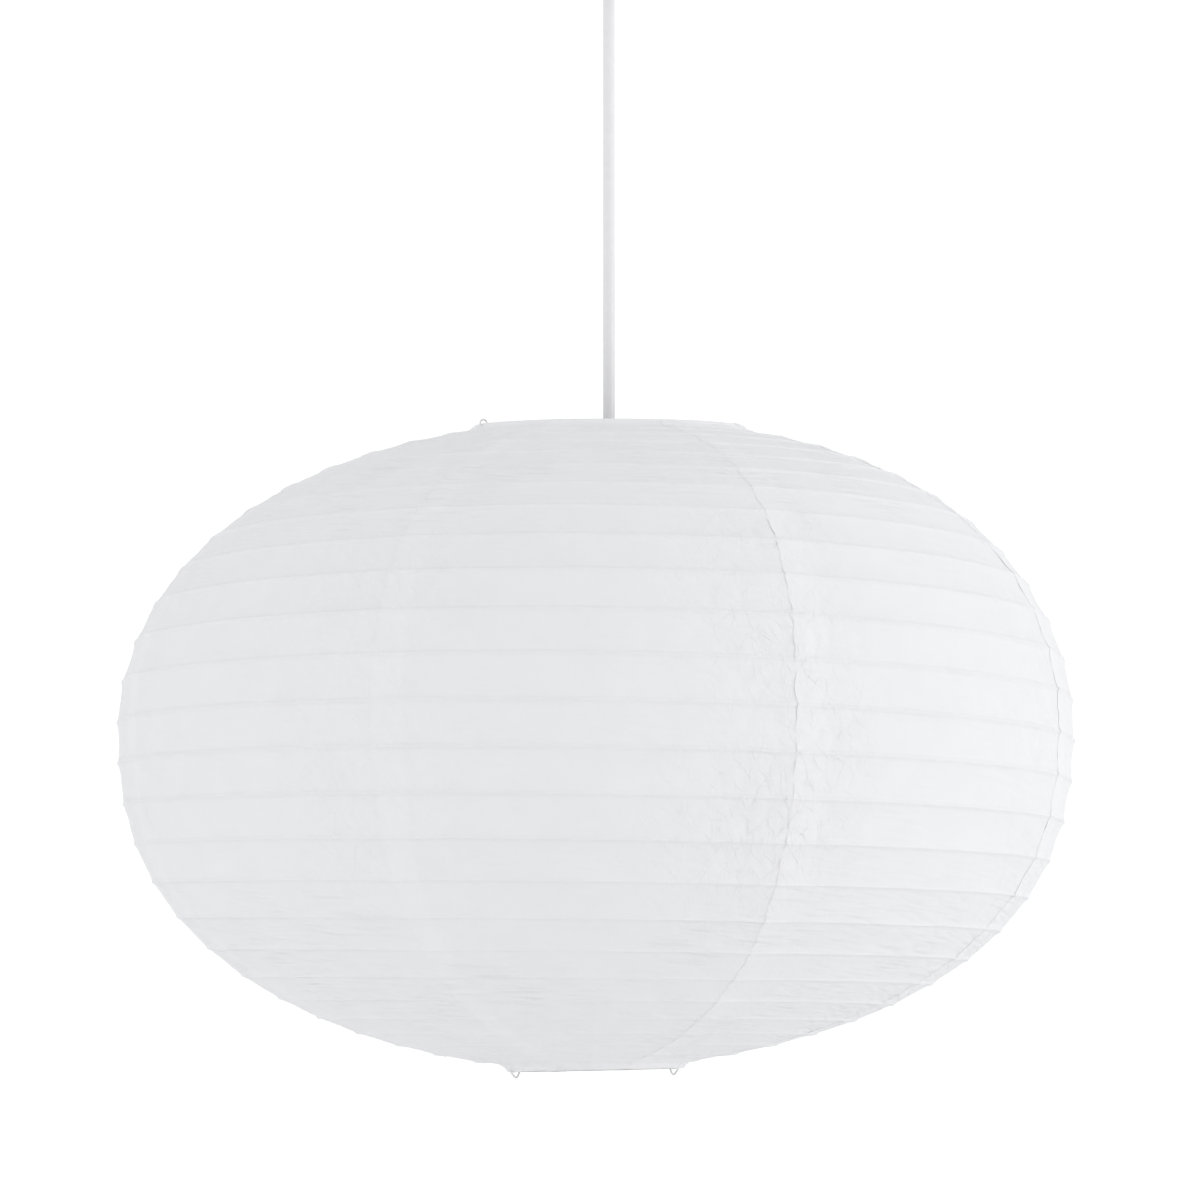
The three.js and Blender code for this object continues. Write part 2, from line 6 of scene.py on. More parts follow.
import bmesh
import bpy
import numpy as np
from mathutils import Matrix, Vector


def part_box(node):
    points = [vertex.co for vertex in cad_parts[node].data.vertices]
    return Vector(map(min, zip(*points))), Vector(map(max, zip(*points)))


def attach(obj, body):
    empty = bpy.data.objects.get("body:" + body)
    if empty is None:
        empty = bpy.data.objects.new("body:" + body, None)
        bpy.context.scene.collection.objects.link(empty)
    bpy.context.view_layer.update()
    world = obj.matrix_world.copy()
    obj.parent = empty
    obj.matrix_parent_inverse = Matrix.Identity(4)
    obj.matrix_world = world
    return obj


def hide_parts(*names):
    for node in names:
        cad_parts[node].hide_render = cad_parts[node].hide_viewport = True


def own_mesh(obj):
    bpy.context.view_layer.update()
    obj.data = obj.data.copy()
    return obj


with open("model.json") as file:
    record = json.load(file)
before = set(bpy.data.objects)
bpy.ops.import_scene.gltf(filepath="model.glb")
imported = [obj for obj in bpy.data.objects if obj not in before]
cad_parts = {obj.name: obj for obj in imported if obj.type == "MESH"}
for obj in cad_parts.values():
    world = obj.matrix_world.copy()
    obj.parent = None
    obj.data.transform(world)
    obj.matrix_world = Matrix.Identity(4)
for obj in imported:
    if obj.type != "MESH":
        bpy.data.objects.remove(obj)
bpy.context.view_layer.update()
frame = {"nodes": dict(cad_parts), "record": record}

MM = 0.001
TURN = 2 * math.pi
FRONT = -math.pi / 2  # the angle of the -Y side, counter-clockwise from +X

# ---- sizes: from the CAD frame, and the shade's outline ------------------------------------------

WIRE_R = 0.6 * MM  # of the rim wires and the rib wire
FOLD_R = WIRE_R + 0.25 * MM  # from a wire's centre line to the paper that lies on it


def ring_of(node):
    """Centre line radius, height and sideways place of a rim wire."""
    low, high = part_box(node)
    radius = (high.x - low.x) / 2 - WIRE_R
    return radius, (low.z + high.z) / 2, (low.x + high.x) / 2


TOP_RIM_R, TOP_RIM_Z, _ = ring_of("top_rim_wire")
BOTTOM_RIM_R, BOTTOM_RIM_Z, SWAY = ring_of("bottom_rim_wire")
EQUATOR_Z = -466.5 * MM
SHADE_R = 250 * MM
GORES = 8
CORD_R = 3.2 * MM

# |z / height| ^ fall + (r / SHADE_R) ^ belly = 1, up to the neck that runs on to the rim.
UPPER = {"height": 163 * MM, "fall": 1.912, "belly": 2.326, "ends": 157 * MM}
LOWER = {"height": 179.5 * MM, "fall": 2.458, "belly": 1.965, "ends": 176.2 * MM}

RIB_PITCH = 21.74 * MM
RIB_FRONT_Z = EQUATOR_Z - 4.6 * MM  # a rib crosses the front here
# The ribs aren't quite evenly spaced.
DRIFT = {"size": 1.9 * MM, "start": 150 * MM, "length": 290 * MM}
PAPER = 0.15 * MM  # thickness
FIRST_SEAM = math.radians(-23.9)  # from the front, the visible left edge of the front gore
OVERLAP = 15 * MM
LEAN = {"belly": 2, "cubic": -4.91, "quartic": -1.83}  # degrees, by share of the way up
BOTTOM_LIFT = 1.2 * MM
BOTTOM_TILT = math.radians(1.2)  # the bottom rim hangs a little lower on the left

# ---- the shade's shape ---------------------------------------------------------------------------


def share(z):
    """Share of the way from the widest ring to the top rim, 1, or the bottom rim, -1."""
    up = TOP_RIM_Z - EQUATOR_Z
    down = EQUATOR_Z - BOTTOM_RIM_Z
    return np.where(z > EQUATOR_Z, (z - EQUATOR_Z) / up, (z - EQUATOR_Z) / down)


def settle(points):
    """Moves points of the straight, level shade to where the hanging shade has them."""
    x, y, z = points[..., 0], points[..., 1], points[..., 2]
    t = share(z)
    lean = np.radians(LEAN["belly"] + LEAN["cubic"] * t**3 + LEAN["quartic"] * t**4)
    above = np.clip(t, 0, None)
    lift = (BOTTOM_LIFT + x * math.tan(BOTTOM_TILT)) * np.clip(-t, 0, None) ** 6
    return np.stack([x + SWAY * (1 - above**2), y, z - y * np.tan(lean) + lift], axis=-1)


def outline():
    """The paper's outside as arc length, radius and height, from the top edge to the bottom."""
    steps = 400
    quarter = np.sin(np.linspace(0, 1, steps) * TURN / 4)
    z_up = UPPER["ends"] * quarter[::-1]
    z_down = LOWER["ends"] * quarter[1:]
    r_up = (1 - (z_up / UPPER["height"]) ** UPPER["fall"]) ** (1 / UPPER["belly"])
    r_down = (1 - (z_down / LOWER["height"]) ** LOWER["fall"]) ** (1 / LOWER["belly"])
    r = np.concatenate([r_up, r_down]) * SHADE_R
    z = np.concatenate([EQUATOR_Z + z_up, EQUATOR_Z - z_down])
    top_r, top_z = neck(r[0], z[0], TOP_RIM_R, TOP_RIM_Z, 1)
    low_r, low_z = neck(r[-1], z[-1], BOTTOM_RIM_R, BOTTOM_RIM_Z, -1)
    r = np.concatenate([top_r[::-1], r, low_r])
    z = np.concatenate([top_z[::-1], z, low_z])
    s = np.concatenate([[0], np.cumsum(np.hypot(np.diff(r), np.diff(z)))])
    return s, r, z


def neck(r0, z0, rim_r, rim_z, way):
    """From the shell's end to the rim and over its wire, leaving out the first point."""
    a = np.linspace(0, TURN / 4, 7)
    fold_r = rim_r + FOLD_R * np.cos(a)
    fold_z = rim_z + way * FOLD_R * np.sin(a)
    t = np.linspace(0, 1, 9)[1:-1]
    bow = 0.8 * MM * np.sin(t * math.pi)
    run_r = r0 + (fold_r[0] - r0) * t - bow
    run_z = z0 + (fold_z[0] - z0) * t
    return np.concatenate([run_r, fold_r]), np.concatenate([run_z, fold_z])


S, R_OUT, Z_OUT = outline()
LENGTH = S[-1]
FRONT_S = float(np.interp(-RIB_FRONT_Z, -Z_OUT, S))


def drift(s):
    """How far a rib lies from where evenly spaced ribs would have it."""
    return DRIFT["size"] * np.sin((s - FRONT_S + DRIFT["start"]) * TURN / DRIFT["length"])


RIB_TURNS = (S - FRONT_S - drift(S) + drift(FRONT_S)) / RIB_PITCH  # turns of the helix at S


def on_shell(s, angle, depth=0.0):
    """Points of the level shell at an arc length and an angle, moved in at right angles."""
    r = np.interp(s, S, R_OUT)
    z = np.interp(s, S, Z_OUT)
    step = 2 * MM
    dr = np.interp(s + step, S, R_OUT) - np.interp(s - step, S, R_OUT)
    dz = np.interp(s + step, S, Z_OUT) - np.interp(s - step, S, Z_OUT)
    size = np.hypot(dr, dz)
    r = r + depth * dz / size
    z = z - depth * dr / size
    return np.stack([r * np.cos(angle), r * np.sin(angle), z], axis=-1)


def rib_phase(s, angle):
    """Turns of the rib helix passed at a place: a whole number on a rib."""
    return np.interp(s, S, RIB_TURNS) - (angle - FRONT) / TURN


# ---- noise ---------------------------------------------------------------------------------------


def hashed(ix, iy, seed, period=None):
    """A repeatable number from 0 to 1 for each pair of whole numbers."""
    ix = np.mod(ix, period) if period else ix
    n = np.sin(ix * 127.1 + iy * 311.7 + seed * 74.7) * 43758.5453
    return n - np.floor(n)


def cells(angle, size):
    """Angle counted in cells of about this size on the widest ring, a whole number per turn."""
    period = max(1, round(TURN * SHADE_R / size))
    return (angle - FRONT) / TURN * period, period


def soft_noise(x, y, seed, period=None):
    """Smooth noise from -1 to 1 with features one unit across."""
    ix, iy = np.floor(x), np.floor(y)
    fx, fy = x - ix, y - iy
    ux, uy = fx * fx * (3 - 2 * fx), fy * fy * (3 - 2 * fy)
    a = hashed(ix, iy, seed, period) * (1 - ux) + hashed(ix + 1, iy, seed, period) * ux
    b = hashed(ix, iy + 1, seed, period) * (1 - ux) + hashed(ix + 1, iy + 1, seed, period) * ux
    return 2 * (a * (1 - uy) + b * uy) - 1


def patches(angle, s, across, along, seed):
    """Smooth noise over the shade, with features of this size across and along the gores."""
    x, period = cells(angle, across)
    return soft_noise(x, s / along, seed, period)


def creases(angle, s, across, along, seed):
    """Sharp valleys along wandering lines, from 0 in a crease to about 1."""
    return np.abs(patches(angle, s, across, along, seed)) ** 0.8


def facets(angle, s, size, seed, shear=0.0):
    """Flat-sided lumps of about this size: 0 along the sharp valleys between them."""
    x, period = cells(angle, size)
    y = s / size + shear * x
    ix, iy = np.floor(x), np.floor(y)
    first = np.full(x.shape, 9.0)
    second = np.full(x.shape, 9.0)
    for i in (-1, 0, 1):
        for j in (-1, 0, 1):
            px = ix + i + hashed(ix + i, iy + j, seed, period)
            py = iy + j + hashed(ix + i, iy + j, seed + 5, period)
            away = np.hypot(x - px, y - py)
            second = np.minimum(second, np.maximum(first, away))
            first = np.minimum(first, away)
    return second - first


def smooth(low, high, value):
    """Eases from 0 where value is low to 1 where it is high."""
    t = np.clip((value - low) / (high - low), 0, 1)
    return t * t * (3 - 2 * t)


# ---- mesh helpers --------------------------------------------------------------------------------


SHARP = math.radians(55)  # edges sharper than this are shaded as edges
SOFTENED = math.radians(35)  # a turned part's edges sharper than this get a small round
LATHE_SIDES = 64


def add_mesh(name, vertices, faces, attributes=None):
    mesh = bpy.data.meshes.new(name)
    mesh.from_pydata(np.asarray(vertices).reshape(-1, 3).tolist(), [], faces)
    for key, values in (attributes or {}).items():
        layer = mesh.attributes.new(key, "FLOAT", "POINT")
        layer.data.foreach_set("value", np.asarray(values, np.float32).ravel())
    work = bmesh.new()
    work.from_mesh(mesh)
    bmesh.ops.remove_doubles(work, verts=work.verts, dist=2e-6)
    bmesh.ops.recalc_face_normals(work, faces=work.faces)
    for face in work.faces:
        face.smooth = True
    work.to_mesh(mesh)
    work.free()
    mesh.set_sharp_from_angle(angle=SHARP)
    thing = bpy.data.objects.new(name, mesh)
    bpy.context.scene.collection.objects.link(thing)
    return thing


def grid_faces(rows, columns, wrap_rows=False, wrap_columns=False, first=0):
    """Quads of a grid of points stored row by row."""
    faces = []
    for i in range(rows if wrap_rows else rows - 1):
        for j in range(columns if wrap_columns else columns - 1):
            i2, j2 = (i + 1) % rows, (j + 1) % columns
            corners = (i * columns + j, i * columns + j2, i2 * columns + j2, i2 * columns + j)
            faces.append(tuple(first + c for c in corners))
    return faces


def tube(name, path, radius, sides=12, closed=False):
    """A round wire along points, with flat ends or closed on itself."""
    path = np.asarray(path, float)
    ahead = np.roll(path, -1, axis=0) - np.roll(path, 1, axis=0)
    if not closed:
        ahead[0], ahead[-1] = path[1] - path[0], path[-1] - path[-2]
    ahead /= np.linalg.norm(ahead, axis=1)[:, None]
    side = np.zeros_like(path)
    start = np.cross(ahead[0], [0.31, 0.17, 0.93])
    side[0] = start / np.linalg.norm(start)
    for i in range(1, len(path)):
        turned = side[i - 1] - ahead[i] * np.dot(side[i - 1], ahead[i])
        side[i] = turned / np.linalg.norm(turned)
    up = np.cross(ahead, side)
    a = np.arange(sides) * TURN / sides
    ring = side[:, None] * np.cos(a)[None, :, None] + up[:, None] * np.sin(a)[None, :, None]
    points = path[:, None] + radius * ring
    faces = grid_faces(len(path), sides, wrap_rows=closed, wrap_columns=True)
    if not closed:
        last = (len(path) - 1) * sides
        faces.append(tuple(range(sides)))
        faces.append(tuple(last + i for i in range(sides)))
    return add_mesh(name, points, faces)


def lathe(name, profile, bevel=0.3 * MM):
    """Turns a closed profile of (radius, height) in millimetres round Z, with softened edges."""
    flat = np.array(profile, float) * MM
    a = np.arange(LATHE_SIDES) * TURN / LATHE_SIDES
    x = flat[:, None, 0] * np.cos(a)
    y = flat[:, None, 0] * np.sin(a)
    z = np.broadcast_to(flat[:, None, 1], x.shape)
    faces = grid_faces(len(flat), LATHE_SIDES, wrap_rows=flat[0, 0] > 0, wrap_columns=True)
    made = add_mesh(name, np.stack([x, y, z], axis=-1), faces)
    soften(made, bevel)
    return made


def soften(thing, width):
    """A small round on every sharp edge, and flat faces that stay flat."""
    if not width:
        return
    bevel = thing.modifiers.new("round", "BEVEL")
    bevel.width = width
    bevel.segments = 2
    bevel.limit_method = "ANGLE"
    bevel.angle_limit = SOFTENED
    bevel.harden_normals = True
    apply_modifiers(thing)


def apply_modifiers(thing):
    graph = bpy.context.evaluated_depsgraph_get()
    made = bpy.data.meshes.new_from_object(thing.evaluated_get(graph))
    thing.modifiers.clear()
    old = thing.data
    thing.data = made
    bpy.data.meshes.remove(old)


# ---- materials -----------------------------------------------------------------------------------


class Nodes:
    """Short names for building one material's nodes."""

    def __init__(self, name):
        self.material = bpy.data.materials.new(name)
        self.material.use_nodes = True
        self.tree = self.material.node_tree
        self.shader = self.tree.nodes["Principled BSDF"]
        self.output = self.tree.nodes["Material Output"]

    def add(self, kind, **settings):
        node = self.tree.nodes.new(kind)
        for key, value in settings.items():
            if key in node.inputs:
                node.inputs[key].default_value = value
            else:
                setattr(node, key, value)
        return node

    def link(self, source, target):
        self.tree.links.new(source, target)

    def set(self, **values):
        for key, value in values.items():
            self.shader.inputs[key.replace("_", " ")].default_value = value

    def place(self, stretch=(1, 1, 1)):
        """Object coordinates, so that a pattern moves with its piece."""
        where = self.add("ShaderNodeTexCoord")
        scaled = self.add("ShaderNodeMapping")
        scaled.inputs["Scale"].default_value = stretch
        self.link(where.outputs["Object"], scaled.inputs["Vector"])
        return scaled.outputs["Vector"]

    def noise(self, size, detail=3.0, stretch=(1, 1, 1)):
        """Noise whose features are about this big, in metres."""
        made = self.add("ShaderNodeTexNoise", Scale=1 / size, Detail=detail)
        self.link(self.place(stretch), made.inputs["Vector"])
        return made.outputs["Fac"]

    def ridges(self, place, size, tilt=0.0):
        """Heights with sharp creases, this long and this far apart, where place is in metres."""
        scaled = self.add("ShaderNodeMapping", vector_type="TEXTURE")
        scaled.inputs["Rotation"].default_value = (0, 0, tilt)
        scaled.inputs["Scale"].default_value = (*size, 1)
        self.link(place, scaled.inputs["Vector"])
        wave = self.add("ShaderNodeTexNoise", Scale=1.0, Detail=1.5)
        self.link(scaled.outputs["Vector"], wave.inputs["Vector"])
        centred = self.ramp(wave.outputs["Fac"], -1.0, 1.0)
        made = self.add("ShaderNodeMath", operation="ABSOLUTE")
        self.link(centred, made.inputs[0])
        return made.outputs["Value"]

    def shards(self, size):
        """Heights of flat-sided crumples about this big, in metres."""
        wander = self.add("ShaderNodeTexNoise", Scale=0.5 / size, Detail=2.0)
        place = self.place()
        self.link(place, wander.inputs["Vector"])
        moved = self.add("ShaderNodeVectorMath", operation="MULTIPLY_ADD")
        self.link(wander.outputs["Color"], moved.inputs[0])
        moved.inputs[1].default_value = (size, size, size)
        self.link(place, moved.inputs[2])
        made = self.add("ShaderNodeTexVoronoi", feature="DISTANCE_TO_EDGE", Scale=1 / size)
        self.link(moved.outputs["Vector"], made.inputs["Vector"])
        return made.outputs["Distance"]

    def cracks(self, place, size, tilt, seed):
        """Thin, sharp crease lines that meet in forks, as 0 to 1, and absent here and there."""
        wander = self.add("ShaderNodeTexNoise", Scale=1 / (1.5 * max(size)), Detail=3.0)
        self.link(place, wander.inputs["Vector"])
        moved = self.add("ShaderNodeVectorMath", operation="MULTIPLY_ADD")
        self.link(wander.outputs["Color"], moved.inputs[0])
        moved.inputs[1].default_value = (1.2 * size[0], 1.2 * size[0], 0)
        self.link(place, moved.inputs[2])
        scaled = self.add("ShaderNodeMapping", vector_type="TEXTURE")
        scaled.inputs["Location"].default_value = (seed, 0, 0)
        scaled.inputs["Rotation"].default_value = (0, 0, tilt)
        scaled.inputs["Scale"].default_value = (*size, 1)
        self.link(moved.outputs["Vector"], scaled.inputs["Vector"])
        net = self.add("ShaderNodeTexVoronoi", feature="DISTANCE_TO_EDGE", voronoi_dimensions="2D")
        net.inputs["Scale"].default_value = 1.0
        self.link(scaled.outputs["Vector"], net.inputs["Vector"])
        line = self.ramp(net.outputs["Distance"], 1.0, 0.0, end=0.09)
        gaps = self.add("ShaderNodeTexNoise", Scale=1.3, Detail=1.0)
        self.link(scaled.outputs["Vector"], gaps.inputs["Vector"])
        shown = self.ramp(gaps.outputs["Fac"], 0.0, 1.0, start=0.42, end=0.58)
        return self.math("MULTIPLY", line, shown)

    def ramp(self, value, low, high, start=0.0, end=1.0):
        made = self.add("ShaderNodeMapRange")
        made.inputs["From Min"].default_value = start
        made.inputs["From Max"].default_value = end
        made.inputs["To Min"].default_value = low
        made.inputs["To Max"].default_value = high
        self.link(value, made.inputs["Value"])
        return made.outputs["Result"]

    def blend(self, factor, first, second):
        made = self.add("ShaderNodeMix", data_type="RGBA")
        made.inputs["A"].default_value = (*first, 1)
        made.inputs["B"].default_value = (*second, 1)
        self.link(factor, made.inputs["Factor"])
        return made.outputs["Result"]

    def attribute(self, name):
        return self.add("ShaderNodeAttribute", attribute_name=name).outputs["Fac"]

    def math(self, operation, first, second):
        made = self.add("ShaderNodeMath", operation=operation)
        self.link(first, made.inputs[0])
        self.link(second, made.inputs[1])
        return made.outputs["Value"]

    def bump(self, height, strength, distance, under=None):
        made = self.add("ShaderNodeBump", Strength=strength, Distance=distance)
        self.link(height, made.inputs["Height"])
        if under:
            self.link(under, made.inputs["Normal"])
        return made.outputs["Normal"]


GLOSS_SPREAD = 0.05  # how far a grained material's roughness varies, up and down


def grained(name, dark, light, roughness, grain, bump=0.1, metal=0.0, **more):
    """A plain material with a little grain in its colour, gloss and surface."""
    nodes = Nodes(name)
    value = nodes.noise(grain)
    nodes.link(nodes.blend(value, dark, light), nodes.shader.inputs["Base Color"])
    rough = nodes.ramp(value, roughness - GLOSS_SPREAD, roughness + GLOSS_SPREAD)
    nodes.link(rough, nodes.shader.inputs["Roughness"])
    nodes.link(nodes.bump(value, bump, grain / 4), nodes.shader.inputs["Normal"])
    nodes.set(Metallic=metal, **more)
    return nodes.material


def paper_material():
    """Thin rice paper: matt, cloudy with fibres, and letting some light through."""
    nodes = Nodes("rice_paper")
    layers, crumple, pleats = (nodes.attribute(n) for n in ("layers", "crumple", "pleats"))
    flat = nodes.add("ShaderNodeCombineXYZ")
    nodes.link(nodes.attribute("around"), flat.inputs["X"])
    nodes.link(nodes.attribute("down"), flat.inputs["Y"])
    flat = flat.outputs["Vector"]
    cloud = nodes.ramp(nodes.noise(18 * MM, detail=4), 0.0, 0.6)
    body = nodes.math("ADD", cloud, nodes.ramp(layers, 0.0, 0.15))
    colour = nodes.blend(body, (0.885, 0.888, 0.905), (0.935, 0.938, 0.955))
    nodes.link(colour, nodes.shader.inputs["Base Color"])
    nodes.set(Roughness=0.75, Specular_IOR_Level=0.25)
    amount = nodes.ramp(crumple, 0.05, 1.0)
    folds = nodes.bump(nodes.math("MULTIPLY", nodes.shards(7 * MM), amount), 0.5, 0.8 * MM)
    for size, tilt, seed in (((7 * MM, 15 * MM), 0.45, 0.3), ((6 * MM, 13 * MM), -0.5, 0.7)):
        lines = nodes.cracks(flat, size, tilt, seed)
        folds = nodes.bump(nodes.math("MULTIPLY", lines, amount), 1.0, 0.2 * MM, under=folds)
    ripples = nodes.ridges(flat, (42 * MM, 6 * MM), tilt=0.08)
    patchy = nodes.ramp(nodes.noise(45 * MM, detail=1), 0.1, 1.0, start=0.4, end=0.6)
    rippled = nodes.math("MULTIPLY", ripples, nodes.ramp(pleats, 0.25, 1.0))
    folds = nodes.bump(nodes.math("MULTIPLY", rippled, patchy), 1.0, 1.5 * MM, under=folds)
    folds = nodes.bump(nodes.attribute("rib"), 1.0, 0.12 * MM, under=folds)
    fibres = nodes.noise(1.6 * MM, detail=2, stretch=(1, 1, 0.35))
    surface = nodes.bump(fibres, 0.2, 0.15 * MM, under=folds)
    nodes.link(surface, nodes.shader.inputs["Normal"])
    through = nodes.add("ShaderNodeBsdfTranslucent")
    nodes.link(colour, through.inputs["Color"])
    nodes.link(surface, through.inputs["Normal"])
    both = nodes.add("ShaderNodeMixShader")
    nodes.link(nodes.ramp(layers, 0.28, 0.25), both.inputs[0])
    nodes.link(nodes.shader.outputs["BSDF"], both.inputs[1])
    nodes.link(through.outputs["BSDF"], both.inputs[2])
    nodes.link(both.outputs["Shader"], nodes.output.inputs["Surface"])
    return nodes.material


def cord_material():
    return grained(
        "cord_pvc", (0.67, 0.67, 0.685), (0.73, 0.73, 0.745), 0.32, 6 * MM, 0.03, Coat_Weight=0.15
    )


def plastic_material():
    dark, light = (0.8, 0.8, 0.79), (0.85, 0.85, 0.84)
    return grained("white_thermoplastic", dark, light, 0.38, 0.8 * MM, 0.04)


def wire_material():
    dark, light = (0.62, 0.62, 0.63), (0.72, 0.72, 0.73)
    return grained("white_lacquered_wire", dark, light, 0.3, 1.5 * MM, 0.05)


def steel_material():
    dark, light = (0.5, 0.52, 0.55), (0.62, 0.63, 0.65)
    return grained("zinc_plate", dark, light, 0.35, 3 * MM, 0.05, metal=1.0)


def brass_material():
    return grained("brass", (0.65, 0.47, 0.18), (0.8, 0.62, 0.28), 0.28, 2 * MM, 0.04, metal=1.0)


def ceramic_material():
    return grained("steatite", (0.76, 0.73, 0.66), (0.84, 0.81, 0.75), 0.55, 0.7 * MM, 0.15)


def glass_material():
    return grained(
        "frosted_glass", (0.86, 0.86, 0.84), (0.92, 0.92, 0.9), 0.3, 12 * MM, 0.02, Coat_Weight=0.3
    )


def shell_material():
    dark, light = (0.62, 0.62, 0.64), (0.75, 0.75, 0.77)
    return grained("cap_aluminium", dark, light, 0.3, 1.2 * MM, 0.06, metal=1.0)


def black_material():
    return grained("black_vitrite", (0.012, 0.012, 0.014), (0.03, 0.03, 0.033), 0.2, 2 * MM, 0.03)


def core_material(name, dark, light):
    return grained(name, dark, light, 0.45, 1.5 * MM, 0.05)


MATERIALS = {
    "paper": paper_material(),
    "cord_sheath": cord_material(),
    "white_plastic": plastic_material(),
    "expander_wire": wire_material(),
    "rib_wire": wire_material(),
    "zinc_steel": steel_material(),
    "brass": brass_material(),
    "ceramic": ceramic_material(),
    "bulb_glass": glass_material(),
    "bulb_shell": shell_material(),
    "black_glass": black_material(),
    "core_brown": core_material("core_brown", (0.1, 0.045, 0.02), (0.17, 0.08, 0.035)),
    "core_blue": core_material("core_blue", (0.02, 0.07, 0.3), (0.04, 0.13, 0.42)),
}
SLOT_OF = {row["node"]: row["material_slot"] for row in frame["record"]["subparts"]}
BODY_OF = {
    node: body
    for body, nodes in frame["record"]["behaviour"]["bodies"].items()
    for node in nodes
}


def stand_for(thing, node):
    """The piece takes the place, the body and the finish of a CAD node."""
    slot = SLOT_OF[node]
    thing.data.materials.clear()
    thing.data.materials.append(MATERIALS[slot])
    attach(thing, BODY_OF[node])
    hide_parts(node)
    return thing


def finish_cad_nodes():
    for node, thing in frame["nodes"].items():
        thing.data.materials.clear()
        thing.data.materials.append(MATERIALS[SLOT_OF[node]])


# ---- camera, light and floor ---------------------------------------------------------------------


LENS = 84.84
CAMERA_AT = (-4.8 * MM, -6 * SHADE_R, -520 * MM)
CAMERA_TILT = math.radians(4.65)


def camera():
    data = bpy.data.cameras.new("camera")
    data.sensor_width = 36
    data.lens = LENS
    thing = bpy.data.objects.new("camera", data)
    thing.location = CAMERA_AT
    thing.rotation_euler = (math.radians(90) + CAMERA_TILT, 0, 0)
    bpy.context.scene.collection.objects.link(thing)
    bpy.context.scene.camera = thing
    return thing


WALL_BAND = 0.3  # the walls are evenly bright up to this height, as a share of straight up
DUSK = {"towards": (-0.72, 0.2, 0.66), "from": 0.7, "least": 0.72}  # a dimmer patch of the room
SOFTBOX = 1.2  # metres across
WALLS, CEILING = 1.125, 0.96


def softbox(name, place, power):
    data = bpy.data.lights.new(name, "AREA")
    data.shape = "SQUARE"
    data.size = SOFTBOX
    data.energy = power
    thing = bpy.data.objects.new(name, data)
    thing.location = place
    aim = Vector((0, 0, EQUATOR_Z)) - thing.location
    thing.rotation_euler = aim.to_track_quat("-Z", "Y").to_euler()
    bpy.context.scene.collection.objects.link(thing)


def surroundings():
    """White walls all round, darker overhead, underfoot and up to the left, and two softboxes."""
    world = bpy.data.worlds.new("studio")
    world.use_nodes = True
    tree = world.node_tree
    place = tree.nodes.new("ShaderNodeTexCoord")
    split = tree.nodes.new("ShaderNodeSeparateXYZ")
    level = tree.nodes.new("ShaderNodeMath")
    level.operation = "ABSOLUTE"
    towards = tree.nodes.new("ShaderNodeVectorMath")
    towards.operation = "DOT_PRODUCT"
    towards.inputs[1].default_value = DUSK["towards"]
    dusk = tree.nodes.new("ShaderNodeMapRange")
    dusk.inputs["From Min"].default_value = DUSK["from"]
    dusk.inputs["To Min"].default_value = 1.0
    dusk.inputs["To Max"].default_value = DUSK["least"]
    both = tree.nodes.new("ShaderNodeMath")
    both.operation = "MULTIPLY"
    glow = tree.nodes.new("ShaderNodeMapRange")
    glow.inputs["From Min"].default_value = WALL_BAND
    glow.inputs["To Min"].default_value = WALLS
    glow.inputs["To Max"].default_value = CEILING
    tree.links.new(place.outputs["Generated"], split.inputs["Vector"])
    tree.links.new(split.outputs["Z"], level.inputs[0])
    tree.links.new(level.outputs["Value"], glow.inputs["Value"])
    tree.links.new(place.outputs["Generated"], towards.inputs[0])
    tree.links.new(towards.outputs["Value"], dusk.inputs["Value"])
    tree.links.new(glow.outputs["Result"], both.inputs[0])
    tree.links.new(dusk.outputs["Result"], both.inputs[1])
    tree.links.new(both.outputs["Value"], tree.nodes["Background"].inputs["Strength"])
    tree.nodes["Background"].inputs["Color"].default_value = (1, 1, 1, 1)
    bpy.context.scene.world = world
    bpy.context.scene.view_settings.view_transform = "Standard"
    softbox("key", (2.6, -0.7, -0.3), 13.5)
    softbox("fill", (-2.6, -0.7, -0.3), 6)


def floor():
    half, level = 6.0, -2.1
    corners = [(-half, -half, level), (half, -half, level), (half, half, level), (-half, half, level)]
    thing = add_mesh("floor", corners, [(0, 1, 2, 3)])
    nodes = Nodes("pale_floor")
    nodes.set(Base_Color=(0.85, 0.85, 0.85, 1), Roughness=0.8)
    nodes.set(Emission_Color=(1, 1, 1, 1), Emission_Strength=0.12)
    thing.data.materials.append(nodes.material)


# ---- cord ----------------------------------------------------------------------------------------


def cord():
    low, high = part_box("pendant_cord")
    steps = 24
    path = [(0, 0, high.z + (low.z - high.z) * i / steps) for i in range(steps + 1)]
    thing = tube("cord", path, CORD_R, sides=32)
    stand_for(thing, "pendant_cord")


# ---- shade ---------------------------------------------------------------------------------------

# Rows of paper points from one rib to the next, closest beside the rib.
ROWS_AT = (0, 0.022, 0.05, 0.1, 0.17, 0.25, 0.34, 0.43)
ROWS_AT += (0.52, 0.61, 0.7, 0.79, 0.87, 0.93, 0.96, 0.98)
COLUMNS = 116
SEAM_CRUMPLE = (0.5, 1.0, 0.7, 0.6, 0.8, 0.6, 0.9, 0.7)  # how badly each seam is crumpled
SEAM_AHEAD = 0.62  # the last share of a gore that is crumpled by the seam ahead of it
CRUMPLE_REACH = {"before": 90 * MM, "after": 60 * MM}  # from a seam to flat paper
CRUMPLE_FULL = {"before": 12 * MM, "after": 8 * MM}  # from a seam to where it begins to fade
STRIP_AT_AXIS = 0.35  # the glued strip's share of its full width, carried on to the axis

